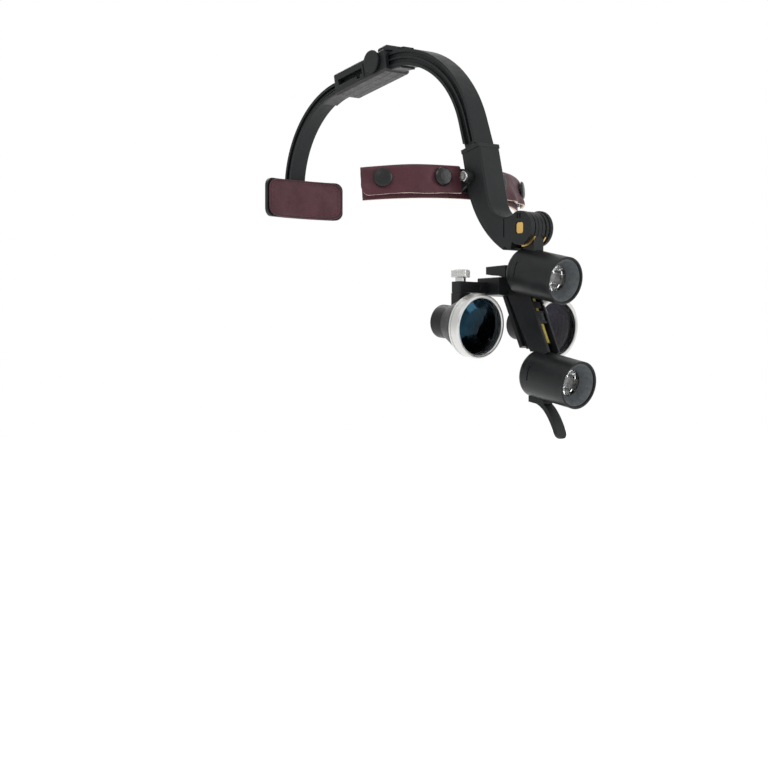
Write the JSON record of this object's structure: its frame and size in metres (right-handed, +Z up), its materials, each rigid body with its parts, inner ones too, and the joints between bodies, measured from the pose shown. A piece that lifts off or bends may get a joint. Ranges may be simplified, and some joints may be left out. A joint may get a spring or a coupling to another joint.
{
  "type": "head-worn binocular magnifier",
  "caption": "Head-worn binocular loupe with two spot lamps on a strap over the crown, forehead and rear pads, flip-up tilt, height and pupil-distance adjustment.",
  "frame": {"origin": "centre of the forehead pad's face that touches the head", "axes": "+Z up, -Y the way the wearer looks, +X towards the wearer's left"},
  "size_m": [0.125, 0.2579, 0.2312],
  "materials": {
    "black_plastic": "fine moulded texture, satin",
    "cover_plastic": "grey moulded, satin",
    "brass": "turned",
    "black_anodised": "black anodised, satin",
    "baffle_black": "dark grey, matte",
    "clear_lens": "polished",
    "coated_lens": "polished, blue-violet coating",
    "led_board": "white solder mask with yellow emitter",
    "satin_aluminium": "satin, turned",
    "steel": "plain screws",
    "burgundy_leather": "smooth burgundy leather, raw pale edges",
    "rear_leather": "smooth burgundy leather pad",
    "snap_black": "lacquered snap caps"
  },
  "bodies": {
    "headband": {"front_arch": "black_plastic", "adjuster_housing": "black_plastic", "adjuster_cover": "cover_plastic", "cover_screws": "steel", "bracket_shell": "black_plastic", "bracket_back_plate": "black_plastic", "foot_screw": "steel", "pivot_axle": "brass", "brass_washers": "brass", "band_pivot_screws": "steel"},
    "rear_strap": {"rear_arch": "black_plastic"},
    "latch": {"adjuster_button": "black_plastic"},
    "forehead_pad": {"forehead_band": "black_plastic", "forehead_leather": "burgundy_leather", "snap_caps": "snap_black"},
    "rear_pad": {"rear_band": "black_plastic", "rear_leather": "rear_leather", "rear_snap_caps": "snap_black", "rear_pivot_screw": "steel"},
    "tension_knob": {"pivot_knob": "black_plastic", "knob_nut": "brass"},
    "carrier": {"carrier_arm": "black_anodised", "carrier_bar": "black_anodised", "bar_screw": "steel", "flip_lever": "black_plastic", "upper_lamp_housing": "black_anodised", "upper_lamp_rear_cap": "black_anodised", "upper_lamp_bezel": "black_anodised", "upper_lamp_baffle": "baffle_black", "upper_lamp_lens": "clear_lens", "upper_lamp_led_board": "led_board", "lower_lamp_housing": "black_anodised", "lower_lamp_rear_cap": "black_anodised", "lower_lamp_bezel": "black_anodised", "lower_lamp_baffle": "baffle_black", "lower_lamp_lens": "clear_lens", "lower_lamp_led_board": "led_board"},
    "height_drive": {"height_screw": "brass", "height_wheel": "black_anodised"},
    "loupe_slide": {"slide_plate": "black_anodised", "slide_nut": "black_anodised", "pd_block": "black_anodised", "pd_lock_screws": "steel"},
    "arm_right": {"pd_arm_right": "black_anodised"},
    "arm_left": {"pd_arm_left": "black_anodised"},
    "loupe_right": {"loupe_carriage_right": "black_anodised", "loupe_barrel_right": "black_anodised", "objective_ring_right": "satin_aluminium", "objective_lens_right": "coated_lens", "eyepiece_lens_right": "coated_lens"},
    "loupe_left": {"loupe_carriage_left": "black_anodised", "loupe_barrel_left": "black_anodised", "objective_ring_left": "satin_aluminium", "objective_lens_left": "coated_lens", "eyepiece_lens_left": "coated_lens"},
    "thumb_right": {"thumb_screw_right": "satin_aluminium"},
    "thumb_left": {"thumb_screw_left": "satin_aluminium"}
  },
  "joints": [
    {"name": "strap_length", "type": "slide", "parent": "headband", "child": "rear_strap", "axis": [0, 0.9816, -0.1908], "range_m": [0, 0.0135]},
    {"name": "latch_press", "type": "slide", "parent": "headband", "child": "latch", "axis": [1, 0, 0], "range_m": [0, 0.001], "stiffness_N_per_m": 600},
    {"name": "forehead_tilt", "type": "hinge", "parent": "headband", "child": "forehead_pad", "pos_m": [0, -0.0092, 0.0053], "axis": [1, 0, 0], "range_deg": [-14, 6]},
    {"name": "rear_pad_tilt", "type": "hinge", "parent": "rear_strap", "child": "rear_pad", "pos_m": [0, 0.16506, 0.00963], "axis": [1, 0, 0], "range_deg": [-5, 18]},
    {"name": "flip_up", "type": "hinge", "parent": "headband", "child": "carrier", "pos_m": [0, -0.048, -0.0257], "axis": [-1, 0, 0], "range_deg": [0, 78]},
    {"name": "tension_knob_turn", "type": "hinge", "parent": "headband", "child": "tension_knob", "pos_m": [0, -0.048, -0.0257], "axis": [1, 0, 0], "range_deg": [-90, 180]},
    {"name": "loupe_height", "type": "slide", "parent": "carrier", "child": "loupe_slide", "axis": [0, 0.4226, 0.9063], "range_m": [-0.0012, 0.0024]},
    {"name": "height_wheel_turn", "type": "hinge", "parent": "carrier", "child": "height_drive", "pos_m": [0, -0.0563, -0.07751], "axis": [0, 0.4226, 0.9063], "range_deg": [-185, 358]},
    {"name": "pupil_right", "type": "slide", "parent": "loupe_slide", "child": "arm_right", "axis": [-1, 0, 0], "range_m": [-0.0015, 0.0045]},
    {"name": "pupil_left", "type": "slide", "parent": "loupe_slide", "child": "arm_left", "axis": [1, 0, 0], "range_m": [-0.0015, 0.0045]},
    {"name": "converge_right", "type": "hinge", "parent": "arm_right", "child": "loupe_right", "pos_m": [-0.029, -0.0236, -0.061], "axis": [0, 0, 1], "range_deg": [-2.5, 3]},
    {"name": "converge_left", "type": "hinge", "parent": "arm_left", "child": "loupe_left", "pos_m": [0.029, -0.0236, -0.061], "axis": [0, 0, -1], "range_deg": [-2.5, 3]},
    {"name": "thumb_right_turn", "type": "hinge", "parent": "arm_right", "child": "thumb_right", "pos_m": [-0.029, -0.0236, -0.0549], "axis": [0, 0, 1], "range_deg": [-30, 180]},
    {"name": "thumb_left_turn", "type": "hinge", "parent": "arm_left", "child": "thumb_left", "pos_m": [0.029, -0.0236, -0.0549], "axis": [0, 0, 1], "range_deg": [-30, 180]}
  ],
  "couplings": [
    {"joint": "height_wheel_turn", "follows": "loupe_height", "rad_per_m": 2513.3}
  ]
}
